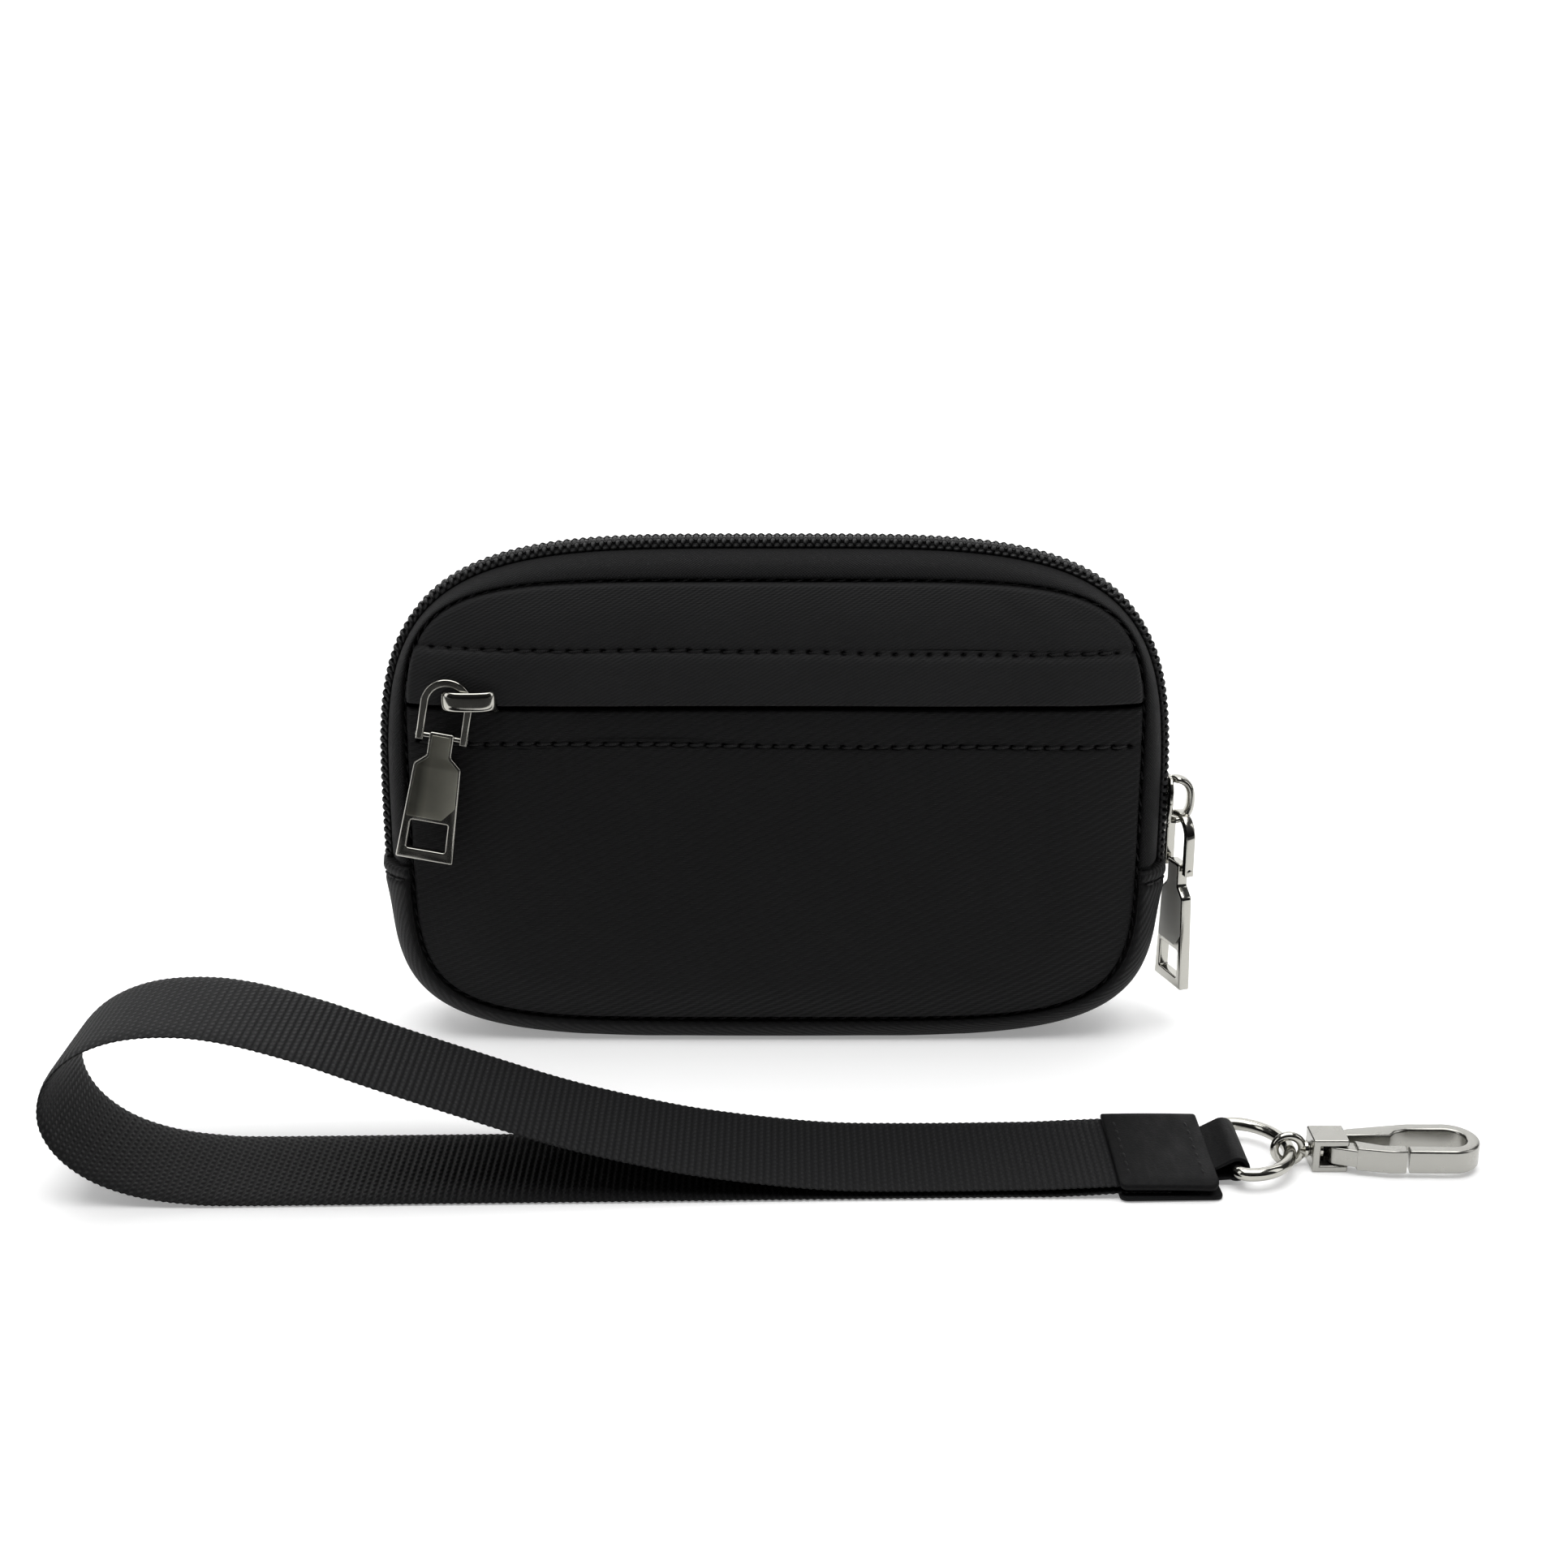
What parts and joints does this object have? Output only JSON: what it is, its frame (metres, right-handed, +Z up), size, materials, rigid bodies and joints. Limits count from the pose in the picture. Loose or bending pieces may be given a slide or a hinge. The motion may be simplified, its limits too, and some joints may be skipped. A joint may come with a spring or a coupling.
{
  "type": "zippered pouch",
  "caption": "Small upright fabric pouch with a curved top zip, a zipped front pocket and a webbing wrist strap ending in a D-ring and swivel snap hook.",
  "frame": {"origin": "centre of the pouch's flat underside, on the surface it stands on", "axes": "+X to the pouch's right seen from the front, along its width and along the strap; +Y from the front towards the back; +Z up"},
  "size_m": [0.2418, 0.0902, 0.0975],
  "materials": {
    "twill_shell": "matte woven nylon twill",
    "lining": "smooth thin lining",
    "foam": "closed-cell foam padding",
    "zip_tape": "matte woven tape",
    "zip_coil": "satin nylon coil",
    "binding": "matte binding tape",
    "webbing": "ribbed webbing",
    "leather": "fine-grained black leather or its imitation",
    "nickel": "polished to satin nickel plate",
    "spring_steel": "plain spring steel"
  },
  "bodies": {
    "pouch": {"front_upper_panel": "twill_shell", "pocket_flap": "twill_shell", "pocket_lower_welt": "twill_shell", "front_lower_panel": "twill_shell", "back_panel": "twill_shell", "front_foam": "foam", "back_foam": "foam", "pocket_bag_front": "lining", "pocket_bag_back": "lining", "front_lining": "lining", "back_lining": "lining", "bottom_gusset": "twill_shell", "gusset_lining": "lining", "main_zip_tape_front": "zip_tape", "main_zip_tape_back": "zip_tape", "main_zip_coil_front": "zip_coil", "main_zip_coil_back": "zip_coil", "seam_binding_front": "binding", "seam_binding_back": "binding", "pocket_zip_tape_upper": "zip_tape", "pocket_zip_tape_lower": "zip_tape", "pocket_zip_coil_upper": "zip_coil", "pocket_zip_coil_lower": "zip_coil"},
    "main_slider": {"main_slider": "nickel"},
    "main_link": {"main_pull_link": "nickel", "main_pull_pin": "nickel"},
    "main_tab": {"main_pull_tab": "nickel"},
    "pocket_slider": {"pocket_slider": "nickel"},
    "pocket_link": {"pocket_pull_link": "nickel", "pocket_pull_pin": "nickel"},
    "pocket_tab": {"pocket_pull_tab": "nickel"},
    "strap": {"strap_webbing": "webbing", "end_cap": "leather", "ring_tab": "leather"},
    "d_ring": {"d_ring": "nickel"},
    "hook_eye": {"hook_eye": "nickel"},
    "hook": {"hook_body": "nickel", "gate_pin": "nickel", "gate_spring": "spring_steel"},
    "gate": {"hook_gate": "nickel"}
  },
  "joints": [
    {"name": "main_slider_slide", "type": "slide", "parent": "pouch", "child": "main_slider", "axis": [0, 0, 1], "range_m": [-0.005, 0.017]},
    {"name": "main_link_swing", "type": "hinge", "parent": "main_slider", "child": "main_link", "pos_m": [0.07799, 0, 0.043], "axis": [0.309, -0.9511, 0], "range_deg": [0, 80]},
    {"name": "main_tab_swing", "type": "hinge", "parent": "main_link", "child": "main_tab", "pos_m": [0.07799, 0, 0.03255], "axis": [0.309, -0.9511, 0], "range_deg": [0, 100]},
    {"name": "pocket_slider_slide", "type": "slide", "parent": "pouch", "child": "pocket_slider", "axis": [1, 0, 0], "range_m": [-0.001, 0.112]},
    {"name": "pocket_link_swing", "type": "hinge", "parent": "pocket_slider", "child": "pocket_link", "pos_m": [-0.0597, -0.0152, 0.0692], "axis": [0, -1, 0], "range_deg": [-80, 38]},
    {"name": "pocket_tab_swing", "type": "hinge", "parent": "pocket_link", "child": "pocket_tab", "pos_m": [-0.06087, -0.0152, 0.06291], "axis": [-0.9833, 0, 0.1822], "range_deg": [0, 100]},
    {"name": "strap_lift", "type": "slide", "parent": "pouch", "child": "strap", "axis": [0, 0, 1], "range_m": [0, 0.15]},
    {"name": "ring_swing", "type": "hinge", "parent": "strap", "child": "d_ring", "pos_m": [0.0782, -0.0615, 0.00305], "axis": [0, -1, 0], "range_deg": [-80, 80]},
    {"name": "eye_swing", "type": "hinge", "parent": "d_ring", "child": "hook_eye", "pos_m": [0.0884, -0.0615, 0.00305], "axis": [0, -1, 0], "range_deg": [-60, 60]},
    {"name": "hook_swivel", "type": "hinge", "parent": "hook_eye", "child": "hook", "pos_m": [0.096, -0.0615, 0.00305], "axis": [1, 0, 0], "continuous": true},
    {"name": "gate_hinge", "type": "hinge", "parent": "hook", "child": "gate", "pos_m": [0.0964, -0.063, 0.00305], "axis": [0, 0, 1], "range_deg": [0, 18], "stiffness_Nm_per_rad": 0.02, "springref_deg": -17.19}
  ]
}
